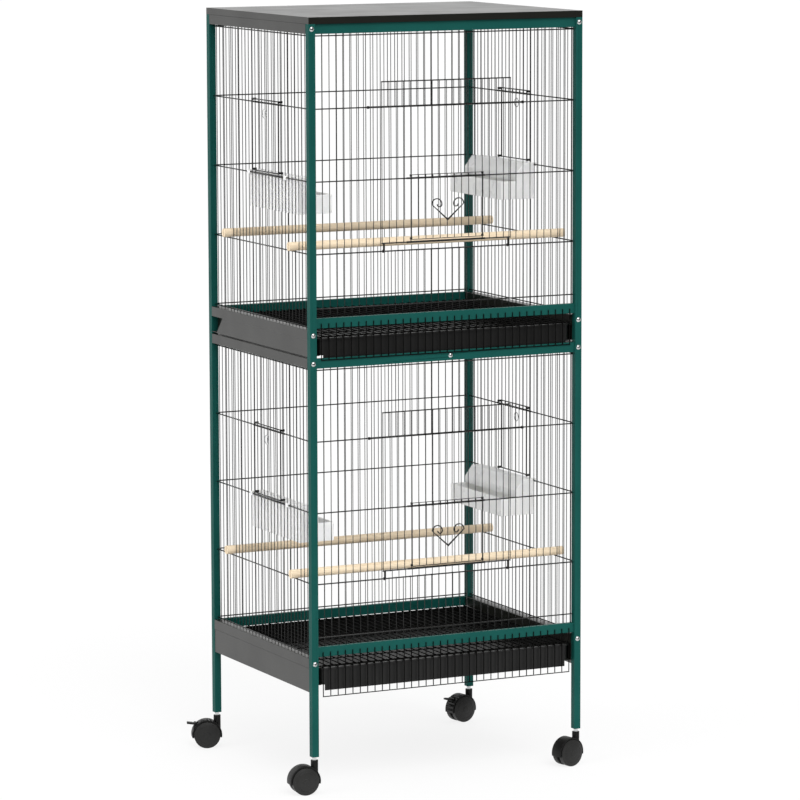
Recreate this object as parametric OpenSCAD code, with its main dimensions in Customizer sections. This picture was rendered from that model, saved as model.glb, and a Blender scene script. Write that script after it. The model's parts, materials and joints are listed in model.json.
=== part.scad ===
// Two-tier flight cage for small birds, on four swivel casters.
// Millimetres, +Z up, front towards -Y, origin on the floor under the middle of the cage.
// Green front and back ladders of square tube are joined by black bolted side rails.
// Each tier has four wire panels, a drop-down front door, a small sliding door in it,
// two sliding feeder doors, hooded feeders, perches, a floor grate and a slide-out tray.

/* [Frame] */
// Width over the posts
cage_w = 550; // [480:10:700]
// Depth over the posts
cage_d = 450; // [430:10:600]
// Height from one tier to the next
tier_pitch = 596; // [540:2:700]
// Gap from the top of one tier to the foot of the side rails of the next
tier_gap = 33; // [28:1:60]
// Side of the square post tube
post_size = 13; // [12:0.5:16]
// Wall of the tubes
tube_wall = 1.2; // [0.8:0.1:1.4]
// Length of bare post between a caster and the lower side panel
leg_h = 161.5; // [120:0.5:220]
// Height of every rail
rail_h = 18; // [14:0.5:20]
// Depth of the front and back rails
rail_d = 9; // [8.5:0.5:11]
// How far the front and back rails stand behind the post faces
rail_setback = 4; // [3.8:0.1:5]
// Depth of the side rails
side_rail_d = 18; // [17:0.5:22]

/* [Side panels and cover] */
// Thickness of the folded sheet
sheet_t = 1.2; // [0.8:0.1:1.6]
// Depth of the lower side skirts below their rails
skirt_drop = 44; // [36:1:60]
// How much shorter the skirt is at the back along its top edge, per tier
skirt_cuts_top = [0, 49];
// How much shorter the skirt is at the back along its foot, per tier
skirt_cuts_foot = [0, 20];
// Step from the rail face in to the skirt face
skirt_step = 0.6; // [0.3:0.1:1]
// Width of the runner flange that carries the tray
runner_w = 24; // [20:1:30]
// Height of the runner flange above the skirt's foot, per tier
runner_rises = [11.4, 0.6];
// Height of the top cover's lip
cover_lip = 12; // [8:0.5:20]
// Depth of the plugs that hold the cover in the post tops
cover_plug_h = 5; // [3:0.5:6]

/* [Wire] */
// Diameter of the upright bars
bar_d = 1.5; // [1.2:0.1:2]
// Diameter of the cross wires
wire_d = 2.5; // [2:0.1:2.8]
// Diameter of the thick rods round the doorways
rod_d = 3.8; // [3:0.1:4]
// Spacing of the upright bars
bar_pitch = 14.4; // [12:0.1:16]
// Rise of the hinge wire above the front rail
hinge_rise = 114; // [90:1:130]
// Drop of the topmost cross wire below the top rail
top_wire_drop = 3.5; // [3:0.5:6]
// Rise of the front panel's lowest cross wire above the front rail
foot_wire_rise = 16.5; // [8:0.5:20]
// Rise of the lowest cross wires of the back and sides above their rails
low_wire_rise = 4.5; // [3:0.5:10]
// Hairline between wires that are welded end to end
weld_gap = 0.02; // [0.01:0.01:0.1]

/* [Front doors] */
// Half width of the drop-down door, as a count of bar gaps
door_half_count = 9; // [8:1:11]
// Half width of the small sliding door, as a count of bar gaps
small_half_count = 5; // [4:1:6]
// Height of the door's foot wire above its hinge wire
door_foot_rise = 14.5; // [12:0.5:18]
// Height of the door above its lintel
door_over = 45; // [30:1:60]
// How far the lintel runs past the doorway at each end
lintel_over = 24; // [10:1:40]
// Diameter of the knobs on the lintel's ends
knob_d = 5.5; // [4:0.5:7]
// Length of the knobs on the lintel's ends
knob_l = 4; // [3:0.5:6]
// How far the small door's rods run past its guides
small_rod_over = 8; // [4:1:12]
// Overlap of the small door above its lintel
small_over = 7; // [6.5:0.5:12]
// Distance of a hinge leg from the door's edge wire
hinge_inset = 4; // [3.5:0.5:6]
// Radius of the scrolls of the wire heart
scroll_r = 11; // [7:0.5:12]
// Height of the heart from its tip to the middle of its scrolls
heart_h = 30; // [22:1:34]
// Height of the heart's tip above the small door's foot
heart_rise = 32; // [20:0.5:36]
// Width of the flat wire of the heart
heart_wire = 1.8; // [1.4:0.1:2.2]

/* [Feeder doors and feeders] */
// Bar at the near side of the feeder doorway, as a count from the panel's middle
hatch_start_count = -2; // [-3:1:-1]
// Width of the feeder doorway, as a count of bar gaps
hatch_gap_count = 8; // [6:2:8]
// How far the doorway's rods run past its side bars
hatch_rod_over = 11; // [8:0.5:12]
// Overlap of the feeder door above its lintel
hatch_over = 7; // [6.5:0.5:12]
// Diameter of the feeder door's ring pull
pull_d = 18; // [14:0.5:22]
// Drop of the ring pull's middle below the lintel
pull_drop = 19; // [16:0.5:30]
// How far a feeder runs past the far side of its doorway
feeder_over = 66; // [40:1:80]
// Height of a feeder
feeder_h = 67; // [60:1:80]
// Wall of the feeders
feeder_wall = 1.8; // [1.4:0.1:2.4]
// Depth of the hood's flat top
roof_d = 22; // [16:1:28]
// Reach of the hood into the cage
hood_reach = 37; // [30:1:44]
// Drop of the hood's sloping face
slope_drop = 20; // [14:1:24]
// Reach of the trough into the cage
trough_reach = 68; // [55:1:80]
// Height of the trough
trough_h = 34; // [24:1:38]
// Clearance between a feeder hook and the bars beside it
hook_side_gap = 1.5; // [1:0.1:2.5]

/* [Perches] */
// Perch diameter
perch_d = 16; // [12:0.5:18]
// Bar that carries a perch, as a count from the panel's middle
perch_bar_count = 10; // [9:1:12]
// How far a perch stands out past its bars
perch_out = 14.5; // [8:0.5:18]
// Depth of the slot past the bar in each perch end
perch_slot = 3; // [2:0.5:5]

/* [Grate and tray] */
// Diameter of the grate's wires
grate_d = 2; // [1.6:0.1:2.4]
// Spacing of the grate's long wires
grate_pitch = 14.8; // [12:0.1:16]
// Spacing of the grate's cross wires
grate_cross_pitch = 56; // [40:1:60]
// Height of the apron's top ends above the underside of the front rail
apron_rise = 9; // [5:0.5:12]
// Drop of the lower apron's foot wire below the side rail
apron_drop = 52; // [48:0.5:56]
// Height of the tray
tray_h = 31; // [24:1:34]
// Wall of the tray
tray_wall = 1.5; // [1.2:0.1:2]
// Width of the tray's rolled rim
tray_rim = 3; // [2:0.5:4]
// Corner radius of the tray
tray_r = 8; // [4:1:12]

/* [Casters] */
// Wheel diameter
wheel_d = 50; // [40:1:60]
// Thickness of each wheel of the pair
wheel_t = 14; // [10:0.5:18]
// Gap between the two wheels
wheel_gap = 7; // [6:0.5:9]
// Outer radius of the hood over the wheels
hood_r = 28.5; // [28:0.5:34]
// Width of the hood along the axle
hood_w = 24; // [20:1:28]
// Trail of the axle behind the stem
trail = 20; // [16:0.5:24]
// Axle diameter
axle_d = 6; // [5:0.5:8]
// Stem diameter
stem_d = 8; // [6:0.5:8]
// Bare stem between the post and the caster's neck
stem_show = 6; // [3:0.5:10]
// Height of the neck above the hood's crown
neck_rise = 8; // [5:0.5:12]
// Neck diameter
neck_d = 13.5; // [12:0.5:16]
// Length of the stem socket inside the post
socket_h = 28; // [20:1:40]
// Direction that each caster trails: front left, front right, back left, back right
trail_headings = [173, 193, 162, 190];

/* [Fasteners] */
// Bolt shank diameter
bolt_d = 4; // [3:0.5:5]
// Bolt head diameter
bolt_head_d = 9; // [7:0.5:10]
// Bolt head height
bolt_head_h = 2.4; // [1.8:0.1:3]
// Thickness of the end plate in a side rail
end_plate_t = 6; // [4:0.5:10]

/* [Hidden] */
TIERS = ["lower", "upper"];
SIDES = ["left", "right"];
CORNERS = ["front_left", "front_right", "back_left", "back_right"];

// Colours of the finishes
green = "#1c5a50";
black = "#242422";
zinc = "#b9bdb8";
white = "#eceae4";
beech = "#e6cfa4";

// Clearances and the one overrun that serves all cuts
overrun = 1;
slide_gap = 0.5;
seat_gap = 0.2;
running_gap = 0.06;
wire_sides = 8;
round_sides = 48;
bar_r = bar_d / 2;
wire_r = wire_d / 2;
rod_r = rod_d / 2;
knob_r = knob_d / 2;
grate_r = grate_d / 2;
loop_wall = 1.4;
loop_h = 4;
guide_bore = bar_d + 2 * running_gap;
guide_r = guide_bore / 2 + loop_wall;
hinge_bore = wire_d + 2 * running_gap;
hinge_r = hinge_bore / 2 + loop_wall;

// Heights
axle_z = wheel_d / 2;
neck_top = axle_z + hood_r + neck_rise;
post_z = neck_top + stem_show;
tier_h = tier_pitch - tier_gap;
function side_z(t) = post_z + leg_h + t * tier_pitch;
function top_z(t) = side_z(t) + tier_h - rail_h;
function side_top_z(t) = side_z(t) + rail_h;
front_rise = 3;
function front_z(t) = side_top_z(t) + front_rise;
function front_top_z(t) = front_z(t) + rail_h;

// Cross wires, counted down from the top: plain, lintel, sill and hinge wire, at equal spaces
plain_cross = 0;
lintel_cross = 1;
sill_cross = 2;
hinge_cross = 3;
cross_pitch = (top_z(0) - top_wire_drop - front_top_z(0) - hinge_rise) / hinge_cross;
function cross_z(t, k) = top_z(t) - top_wire_drop - k * cross_pitch;
function foot_wire_z(t) = front_top_z(t) + foot_wire_rise;
function low_wire_z(t) = side_top_z(t) + low_wire_rise;
post_top = top_z(1) + rail_h;

// Plan places: half sizes, and the planes of bars, cross wires and doors
half_w = cage_w / 2;
half_d = cage_d / 2;
inner_w = half_w - post_size;
inner_d = half_d - post_size;
rail_face_y = half_d - rail_setback;
bar_y = rail_face_y - rail_d + bar_d + slide_gap + slide_gap;
cross_y = bar_y + bar_r + wire_r;
lintel_y = bar_y + bar_r + rod_r;
knob_y = bar_y + bar_r + knob_r;
door_y = lintel_y + rod_r + slide_gap + bar_r;
door_wire_y = door_y - bar_r - wire_r;
door_rod_y = door_y - bar_r - rod_r;
small_y = door_y + bar_r + slide_gap + wire_r;
side_bar_x = half_w - post_size + bar_d + slide_gap + slide_gap + slide_gap;
side_cross_x = side_bar_x + bar_r + wire_r;
hatch_rod_x = side_bar_x + bar_r + rod_r;
hatch_x = hatch_rod_x + rod_r + slide_gap + wire_r;
front_half_count = floor((inner_w - bar_d) / bar_pitch);
side_half_count = floor((inner_d - bar_d) / bar_pitch);
door_half_w = door_half_count * bar_pitch;
small_half_w = small_half_count * bar_pitch;
lintel_half = door_half_w + lintel_over;
hatch_end_count = hatch_start_count + hatch_gap_count;
hatch_y0 = hatch_start_count * bar_pitch;
hatch_y1 = hatch_end_count * bar_pitch;
frame_end = loop_wall + weld_gap;
front_wire_end = inner_w - seat_gap;
side_wire_end = inner_d - seat_gap;

// Doors
function door_foot_z(t) = cross_z(t, hinge_cross) + door_foot_rise;
function door_head_z(t) = cross_z(t, lintel_cross) + door_over;
function small_foot_z(t) = door_foot_z(t) + rod_d + slide_gap;
function small_head_z(t) = cross_z(t, sill_cross) + small_over;
function hatch_foot_z(t) = cross_z(t, sill_cross) + rod_d + slide_gap;
function hatch_head_z(t) = cross_z(t, lintel_cross) + hatch_over;

// Feeder
function feeder_top_z(t) = cross_z(t, sill_cross) + wire_r + seat_gap + hook_t;
hook_t = 2.5;
hook_drop = 7;
hook_off_count = 1.5;
hook_w = bar_pitch - bar_d - 2 * hook_side_gap;
near_hook_y = hatch_y0 - hook_off_count * bar_pitch;
far_hook_y = hatch_y1 + hook_off_count * bar_pitch;
feeder_y0 = near_hook_y - hook_w / 2 - feeder_wall;
feeder_y1 = hatch_y1 + feeder_over;
feeder_back_x = side_bar_x - bar_r - seat_gap;

// Grate and tray
skirt_clear = 3;
lip_clear = 2;
tray_back_gap = 2;
grate_edge = 8;
skirt_drops = [skirt_drop, tier_gap - skirt_clear];
function skirt_foot_z(t) = side_z(t) - skirt_drops[t];
function tray_z(t) = skirt_foot_z(t) + runner_rises[t] + sheet_t + seat_gap;
function grate_z(t) = tray_z(t) + tray_h + seat_gap + grate_r;
lip_feet = [skirt_foot_z(0) + lip_clear, top_z(0) + rail_h + slide_gap];
apron_feet = [side_z(0) - apron_drop, top_z(0) + (rail_h + bolt_head_d) / 2 + slide_gap + grate_r];
apron_y = rail_face_y + slide_gap - seat_gap + grate_r;
web_x = inner_w - slide_gap;
tray_half_w = half_w - side_rail_d - slide_gap;
tray_front_y = apron_y - grate_d - slide_gap;
tray_back_y = inner_d - tray_back_gap;
tray_d = tray_front_y + tray_back_y;
grate_half_w = tray_half_w - tray_rim - tray_wall - slide_gap;
grate_back_y = tray_back_y - slide_gap;
grate_half_count = floor((inner_w - grate_edge) / grate_pitch);
grate_cross_count = 2 * floor((grate_back_y - tray_r) / grate_cross_pitch + 1 / 2);

// Casters
corner_x = half_w - post_size / 2;
corner_y = half_d - post_size / 2;
hood_wall = 2.6;
wheel_clear = 0.5;
hub_d = 16;
web_t = wheel_gap - 2 * wheel_clear;
hood_drop = 5;
stem_depth = 15;
wheel_crown = 2;
wheel_dome = 4;
brake_w = 11;
brake_out = 16;
brake_t = 3;
brake_pin_d = 3;
brake_angle = 44;
brake_lift = 1.6;
brake_pivot_r = hood_r + brake_lift;
tongue_tilt = 8;
cam_d = 4;
cam_r = 3;
cam_angle = 60;
brake_boss_d = 6;
ear_t = 1.6;

function corner_sign_x(c) = c % 2 == 0 ? -1 : 1;
function corner_sign_y(c) = c < 2 ? -1 : 1;

// Rods between two places along one axis
module rod_x(x0, x1, y, z, d = wire_d, n = wire_sides)
    translate([x0, y, z]) rotate([0, 90, 0]) rotate(180 / n) cylinder(d = d, h = x1 - x0, $fn = n);

module rod_y(y0, y1, x, z, d = wire_d, n = wire_sides)
    translate([x, y0, z]) rotate([-90, 0, 0]) rotate(180 / n) cylinder(d = d, h = y1 - y0, $fn = n);

module rod_z(z0, z1, x, y, d = bar_d, n = wire_sides)
    translate([x, y, z0]) rotate(180 / n) cylinder(d = d, h = z1 - z0, $fn = n);

// Rectangle with round corners, centred
module round_rect(w, d, r) {
    square([w - 2 * r, d], center = true);
    square([w, d - 2 * r], center = true);
    for (x = [-1, 1], y = [-1, 1])
        translate([x * (w / 2 - r), y * (d / 2 - r)]) circle(r = r, $fn = round_sides);
}

// Square post with its bolt holes
module post(c) {
    x = corner_sign_x(c) * corner_x;
    y = corner_sign_y(c) * corner_y;
    color(green) difference() {
        translate([x - post_size / 2, y - post_size / 2, post_z])
            cube([post_size, post_size, post_top - post_z]);
        translate([x - post_size / 2 + tube_wall, y - post_size / 2 + tube_wall, post_z - overrun])
            cube([post_size - 2 * tube_wall, post_size - 2 * tube_wall, post_top - post_z + 2 * overrun]);
        for (z = bolt_heights())
            rod_y(y - post_size, y + post_size, x, z, bolt_d + 2 * running_gap, round_sides);
    }
}

function bolt_heights() = [for (t = [0, 1], z = [side_z(t), top_z(t)]) z + rail_h / 2];

// Plugs inside the post feet that hold the caster stems
module leg_sockets() {
    side = post_size - 2 * tube_wall - 2 * running_gap;
    color(black) for (c = [0:3])
        translate([corner_sign_x(c) * corner_x, corner_sign_y(c) * corner_y, post_z]) difference() {
            translate([-side / 2, -side / 2, 0]) cube([side, side, socket_h]);
            translate([0, 0, -overrun])
                cylinder(d = stem_d + running_gap, h = socket_h + 2 * overrun, $fn = round_sides);
        }
}

module caster_stems() {
    color(zinc) for (c = [0:3])
        translate([corner_sign_x(c) * corner_x, corner_sign_y(c) * corner_y, neck_top - stem_depth])
            cylinder(d = stem_d, h = stem_depth + stem_show + socket_h, $fn = round_sides);
}

// Folded black cover with a lip all round and a plug in each post
module top_cover() {
    plug = post_size - 2 * tube_wall - 2 * running_gap;
    color(black) {
        difference() {
            translate([-half_w, -half_d, post_top]) cube([cage_w, cage_d, cover_lip]);
            translate([sheet_t - half_w, sheet_t - half_d, post_top - overrun])
                cube([cage_w - 2 * sheet_t, cage_d - 2 * sheet_t, cover_lip - sheet_t + overrun]);
        }
        for (c = [0:3])
            translate([corner_sign_x(c) * corner_x - plug / 2, corner_sign_y(c) * corner_y - plug / 2,
                       post_top - cover_plug_h])
                cube([plug, plug, cover_plug_h + cover_lip - sheet_t]);
    }
}

// Domed bolts through the posts into the side rails, and one in the middle of the lower front top rail
module frame_bolt(x, y, z, reach) {
    s = y < 0 ? 1 : -1;
    dome = (bolt_head_d * bolt_head_d / 4 + bolt_head_h * bolt_head_h) / (2 * bolt_head_h);
    translate([x, y, z]) rotate([-90 * s, 0, 0]) {
        cylinder(d = bolt_d, h = reach, $fn = round_sides);
        rotate_extrude($fn = round_sides) intersection() {
            translate([0, dome - bolt_head_h]) circle(r = dome, $fn = round_sides);
            translate([0, -bolt_head_h]) square([bolt_head_d / 2, bolt_head_h]);
        }
    }
}

module frame_bolts() {
    color(zinc) {
        for (c = [0:3], z = bolt_heights())
            frame_bolt(corner_sign_x(c) * corner_x, corner_sign_y(c) * half_d, z, post_size + end_plate_t);
        frame_bolt(grate_pitch / 2, -rail_face_y, top_z(0) + rail_h / 2, rail_d);
    }
}

// Front or back rail: rectangular tube between two posts
module cross_rail(s, z, bolted = false) {
    y = s > 0 ? rail_face_y - rail_d : -rail_face_y;
    color(green) difference() {
        translate([-inner_w, y, z]) cube([2 * inner_w, rail_d, rail_h]);
        translate([-inner_w - overrun, y + tube_wall, z + tube_wall])
            cube([2 * inner_w + 2 * overrun, rail_d - 2 * tube_wall, rail_h - 2 * tube_wall]);
        if (bolted)
            rod_y(y - overrun, y + rail_d + overrun, grate_pitch / 2, z + rail_h / 2,
                  bolt_d + 2 * running_gap, round_sides);
    }
}

// Side rail: tube between two posts, closed by end plates that take the bolts
module side_tube(s, z, d) {
    x = s > 0 ? half_w - d : -half_w;
    difference() {
        translate([x, -inner_d, z]) cube([d, 2 * inner_d, rail_h]);
        translate([x + tube_wall, end_plate_t - inner_d, z + tube_wall])
            cube([d - 2 * tube_wall, 2 * inner_d - 2 * end_plate_t, rail_h - 2 * tube_wall]);
        for (e = [-1, 1])
            rod_y(e * inner_d - end_plate_t - overrun, e * inner_d + end_plate_t + overrun, s * corner_x,
                  z + rail_h / 2, bolt_d + 2 * running_gap, round_sides);
    }
}

module side_top_rail(s, t)
    color(black) side_tube(s, top_z(t), post_size);

// Bottom side rail with the skirt seamed into it, the runner flange for the tray and the web between them
module skirt_rail(s, t) {
    foot = skirt_foot_z(t);
    face = half_w - skirt_step;
    seam = side_z(t) + tube_wall;
    runner = foot + runner_rises[t];
    color(black) {
        side_tube(s, side_z(t), side_rail_d);
        translate([s > 0 ? face - sheet_t : -face, 0, 0]) rotate([90, 0, 90])
            linear_extrude(height = sheet_t) polygon([
                [-inner_d, seam], [-inner_d, foot],
                [inner_d - skirt_cuts_foot[t], foot], [inner_d - skirt_cuts_top[t], seam]
            ]);
        translate([s > 0 ? face - runner_w : -face, -inner_d, runner])
            cube([runner_w, 2 * inner_d, sheet_t]);
        translate([s > 0 ? web_x : -web_x - sheet_t, -inner_d, runner])
            cube([sheet_t, 2 * inner_d, seam - runner]);
    }
}

// Cross wire across the front panel, with a gap of given half width in its middle
module split_wire_x(gap_half, y, z) {
    rod_x(-front_wire_end, -gap_half, y, z);
    rod_x(gap_half, front_wire_end, y, z);
}

// Thick rod over the front doorway, with a knob at each end where the cross wire goes on
module lintel(z) {
    knob_x = lintel_half + weld_gap;
    rod_x(-lintel_half, lintel_half, -lintel_y, z, rod_d);
    rod_x(knob_x, knob_x + knob_l, -knob_y, z, knob_d);
    rod_x(-knob_x - knob_l, -knob_x, -knob_y, z, knob_d);
    split_wire_x(knob_x + knob_l + weld_gap, -cross_y, z);
}

// Front panel: bars stop above and below the doorway
module front_wires(t) {
    color(black) {
        for (i = [-front_half_count:front_half_count])
            if (abs(i) >= door_half_count)
                rod_z(front_top_z(t), top_z(t), i * bar_pitch, -bar_y);
            else {
                rod_z(front_top_z(t), cross_z(t, hinge_cross) + wire_r, i * bar_pitch, -bar_y);
                rod_z(cross_z(t, lintel_cross) - rod_r, top_z(t), i * bar_pitch, -bar_y);
            }
        rod_x(-front_wire_end, front_wire_end, -cross_y, foot_wire_z(t));
        rod_x(-front_wire_end, front_wire_end, -cross_y, cross_z(t, hinge_cross), wire_d, round_sides);
        split_wire_x(door_half_w - bar_r, -cross_y, cross_z(t, sill_cross));
        lintel(cross_z(t, lintel_cross));
        rod_x(-front_wire_end, front_wire_end, -cross_y, cross_z(t, plain_cross));
    }
}

// Back panel: plain bars and cross wires
module back_wires(t) {
    color(black) {
        for (i = [-front_half_count:front_half_count])
            rod_z(side_top_z(t), top_z(t), i * bar_pitch, bar_y);
        for (z = concat([low_wire_z(t)], [for (k = [plain_cross:hinge_cross]) cross_z(t, k)]))
            rod_x(-front_wire_end, front_wire_end, cross_y, z);
    }
}

// Side panel: drawn for the right side, with the feeder doorway about its middle
module side_wires(t) {
    rod_start = hatch_y0 - hatch_rod_over;
    rod_end = hatch_y1 + hatch_rod_over;
    color(black) {
        for (i = [-side_half_count:side_half_count])
            if (i <= hatch_start_count || i >= hatch_end_count)
                rod_z(side_top_z(t), top_z(t), side_bar_x, i * bar_pitch);
            else {
                rod_z(side_top_z(t), cross_z(t, sill_cross) + rod_r, side_bar_x, i * bar_pitch);
                rod_z(cross_z(t, lintel_cross) - rod_r, top_z(t), side_bar_x, i * bar_pitch);
            }
        for (z = [low_wire_z(t), cross_z(t, hinge_cross), cross_z(t, plain_cross)])
            rod_y(-side_wire_end, side_wire_end, side_cross_x, z);
        for (k = [lintel_cross, sill_cross]) {
            rod_y(-side_wire_end, rod_start - weld_gap, side_cross_x, cross_z(t, k));
            rod_y(rod_start, rod_end, hatch_rod_x, cross_z(t, k), rod_d);
            rod_y(rod_end + weld_gap, side_wire_end, side_cross_x, cross_z(t, k));
        }
    }
}

// Round loop on an upright guide bar, reaching out to a door in another plane
module guide_loop(reach, z)
    translate([0, 0, z]) difference() {
        union() {
            cylinder(r = guide_r, h = loop_h, $fn = round_sides);
            translate([-loop_wall, 0, 0]) cube([2 * loop_wall, reach, loop_h]);
        }
        translate([0, 0, -overrun]) cylinder(d = guide_bore, h = loop_h + 2 * overrun, $fn = round_sides);
    }

// Drop-down door: bars and frame wires, with two hinge legs that loop round the panel's hinge wire
module front_door(t) {
    foot = door_foot_z(t);
    head = door_head_z(t);
    sill = cross_z(t, sill_cross);
    rod_half = small_half_w + small_rod_over;
    color(black) {
        for (i = [-door_half_count:door_half_count])
            rod_z(abs(i) < small_half_count ? sill - rod_r : foot - wire_r, head + wire_r,
                  i * bar_pitch, -door_y);
        rod_x(-door_half_w, door_half_w, -door_wire_y, head);
        rod_x(-door_half_w, -rod_half - weld_gap, -door_wire_y, foot);
        rod_x(rod_half + weld_gap, door_half_w, -door_wire_y, foot);
        for (z = [foot, sill])
            rod_x(-rod_half, rod_half, -door_rod_y, z, rod_d);
        for (s = [-1, 1])
            translate([s * (door_half_w - hinge_inset), 0, cross_z(t, hinge_cross)]) hinge_leg();
    }
}

// Leg from the door's foot wire down to a round loop on the hinge wire
module hinge_leg()
    difference() {
        union() {
            rod_x(-loop_wall, loop_wall, -cross_y, 0, 2 * hinge_r, round_sides);
            translate([-wire_r, -door_y - bar_r, 0])
                cube([wire_d, door_y - cross_y, door_foot_rise - wire_r]);
        }
        rod_x(-loop_wall - overrun, loop_wall + overrun, -cross_y, 0, hinge_bore, round_sides);
    }

// Flat wire heart: two scrolls whose outer ends run down to one tip
module heart(y, z)
    translate([0, y, z]) rotate([90, 0, 0]) linear_extrude(height = heart_wire, center = true)
        for (s = [0, 1])
            mirror([s, 0]) translate([2 * scroll_r, heart_h]) {
                half_ring(scroll_r);
                translate([-scroll_r / 2, 0]) mirror([0, 1]) half_ring(scroll_r / 2);
                polygon([
                    [scroll_r - heart_wire, 0], [scroll_r, 0],
                    [-2 * scroll_r, -heart_h], [-2 * scroll_r, 2 * heart_wire - heart_h]
                ]);
            }

// Upper half of a ring of flat wire
module half_ring(r)
    difference() {
        circle(r = r, $fn = round_sides);
        circle(r = r - heart_wire, $fn = round_sides);
        translate([-r, -2 * r]) square([2 * r, 2 * r]);
    }

// Small door that slides up in front of the drop-down door, with the wire heart
module small_door(t) {
    foot = small_foot_z(t);
    head = small_head_z(t);
    color(black) {
        for (i = [1 - small_half_count:small_half_count - 1])
            rod_z(foot + bar_d, head - bar_d, i * bar_pitch, -small_y);
        for (z = [foot + bar_r - weld_gap, head - bar_r + weld_gap])
            rod_x(frame_end - small_half_w, small_half_w - frame_end, -small_y, z, bar_d);
        for (s = [-1, 1]) {
            rod_z(foot, head, s * small_half_w, -small_y);
            for (z = [foot + slide_gap, head - loop_h])
                translate([s * small_half_w, -door_y, 0]) mirror([0, 1, 0]) guide_loop(small_y - door_y, z);
        }
        heart(-small_y - bar_r - heart_wire / 2, foot + heart_rise);
    }
}

// Feeder door: drawn for the right side, slides up on two bars of the side panel
module feeder_door(t) {
    foot = hatch_foot_z(t);
    head = hatch_head_z(t);
    color(black) {
        for (i = [hatch_start_count + 1:hatch_end_count - 1])
            rod_z(foot + wire_d, head - wire_d, hatch_x, i * bar_pitch);
        for (z = [foot + wire_r - weld_gap, head - wire_r + weld_gap])
            rod_y(hatch_y0 + frame_end, hatch_y1 - frame_end, hatch_x, z);
        for (y = [hatch_y0, hatch_y1]) {
            rod_z(foot, head, hatch_x, y, wire_d);
            for (z = [foot + slide_gap, head - loop_h])
                translate([side_bar_x, y, 0]) rotate(-90) guide_loop(hatch_x - side_bar_x, z);
        }
        translate([hatch_x + bar_r, (hatch_y0 + hatch_y1) / 2, cross_z(t, lintel_cross) - pull_drop])
            ring_pull();
    }
}

// Ring of flat wire welded on the door's middle bar
module ring_pull()
    rotate([0, 90, 0]) linear_extrude(height = heart_wire) difference() {
        circle(d = pull_d, $fn = round_sides);
        circle(d = pull_d - 2 * heart_wire, $fn = round_sides);
    }

// Hooded feeder: drawn for the right side, hangs inside the panel on two hooks
module feeder(t)
    color(white) translate([feeder_back_x, 0, feeder_top_z(t)]) {
        difference() {
            feeder_block(feeder_y0, feeder_y1) feeder_profile();
            feeder_block(feeder_y0 + feeder_wall, feeder_y1 - feeder_wall) feeder_hollow();
        }
        for (y = [near_hook_y, far_hook_y])
            translate([0, y - hook_w / 2, 0]) feeder_hook();
    }

// Side view drawn out along the panel
module feeder_block(y0, y1)
    translate([0, y1, 0]) rotate([90, 0, 0]) linear_extrude(height = y1 - y0) children();

// Side view of a feeder: flat back and foot, hood with a sloping face, and a trough in front
module feeder_profile()
    polygon([
        [0, 0], [-roof_d, 0], [-hood_reach, -slope_drop], [-hood_reach, trough_h - feeder_h],
        [-trough_reach, trough_h - feeder_h], [-trough_reach, -feeder_h], [0, -feeder_h]
    ]);

// Inside of that view, one wall in from it and open over the trough
module feeder_hollow() {
    run = hood_reach - roof_d;
    face = sqrt(run * run + slope_drop * slope_drop);
    mouth = trough_h - feeder_h;
    polygon([
        [-feeder_wall, -feeder_wall],
        [feeder_wall * (face - run) / slope_drop - roof_d, -feeder_wall],
        [feeder_wall - hood_reach, -slope_drop - feeder_wall * (face - slope_drop) / run],
        [feeder_wall - hood_reach, mouth], [-hood_reach, mouth], [-hood_reach - overrun, mouth + overrun],
        [feeder_wall - trough_reach, mouth + overrun], [feeder_wall - trough_reach, feeder_wall - feeder_h],
        [-feeder_wall, feeder_wall - feeder_h]
    ]);
}

// Hook over the cross wire
module feeder_hook() {
    out = side_cross_x + wire_r + seat_gap - feeder_back_x;
    translate([-feeder_wall, 0, -hook_t]) cube([out + feeder_wall, hook_w, hook_t]);
    translate([out, 0, -hook_drop]) cube([feeder_wall, hook_w, hook_drop]);
}

// Two dowels whose slotted ends straddle a bar and rest on the lowest but one cross wire
module perches(t) {
    half = side_bar_x + perch_out;
    z = cross_z(t, hinge_cross) + wire_r + running_gap + perch_d / 2;
    color(beech) for (y = [-perch_bar_count * bar_pitch, perch_bar_count * bar_pitch])
        difference() {
            rod_x(-half, half, y, z, perch_d, round_sides);
            for (s = [-1, 1])
                translate([s > 0 ? side_bar_x - perch_slot : -half - overrun,
                           y - bar_r - seat_gap, z - perch_d])
                    cube([perch_out + perch_slot + overrun, bar_d + 2 * seat_gap, 2 * perch_d]);
        }
}

// Floor grate: long wires on the tray's rims, cross wires under them, and an apron in front of the tray
module grate(t) {
    z = grate_z(t);
    foot = apron_feet[t];
    half = grate_half_count * grate_pitch + grate_r;
    middle = (grate_cross_count - 1) / 2;
    color(black) {
        for (i = [-grate_half_count:grate_half_count]) {
            rod_y(grate_r - apron_y + weld_gap, grate_back_y, i * grate_pitch, z, grate_d);
            rod_z(foot + grate_r, front_z(t) + apron_rise, i * grate_pitch, -apron_y, grate_d);
        }
        for (j = [0:grate_cross_count - 1])
            rod_x(-grate_half_w, grate_half_w, (j - middle) * grate_cross_pitch, z - grate_d, grate_d);
        rod_x(-half, half, -apron_y, foot - weld_gap, grate_d);
        rod_x(-half, half, grate_d - apron_y, z + grate_d, grate_d);
    }
}

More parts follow.
